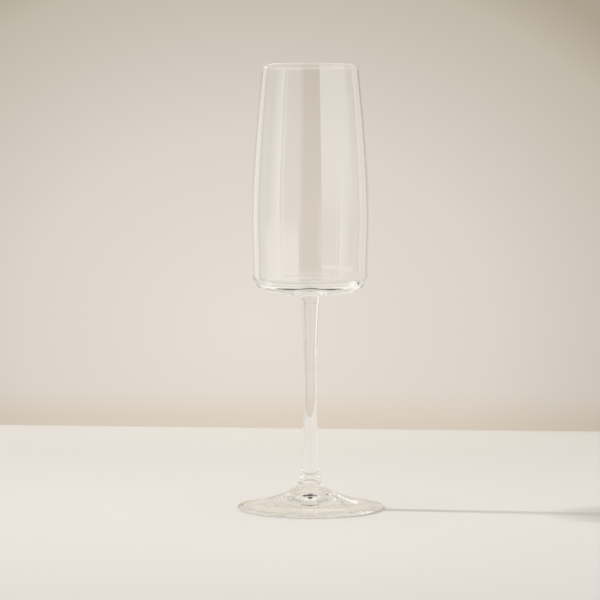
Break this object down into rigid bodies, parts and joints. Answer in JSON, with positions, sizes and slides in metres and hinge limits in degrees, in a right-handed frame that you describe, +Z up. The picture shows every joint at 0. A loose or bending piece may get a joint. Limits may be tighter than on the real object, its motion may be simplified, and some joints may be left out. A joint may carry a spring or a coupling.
{
  "type": "champagne flute",
  "caption": "Clear stemmed champagne flute: a tall tapered bowl with a flat round-cornered base, on a slim flared stem and a round hollow foot.",
  "frame": {"origin": "centre of the flat ring that the foot rests on", "axes": "+Z up along the stem, from the foot to the rim; X and Y lie in the resting plane and are alike, as the glass is round"},
  "size_m": [0.0736, 0.0736, 0.225],
  "materials": {
    "bowl_glass": "thin clear colourless glass, fire-polished",
    "stem_glass": "solid clear colourless glass, drawn",
    "foot_glass": "clear colourless glass with a faint warm tint, pressed and polished"
  },
  "bodies": {
    "root": {"bowl": "bowl_glass", "stem": "stem_glass", "foot": "foot_glass"}
  },
  "joints": []
}
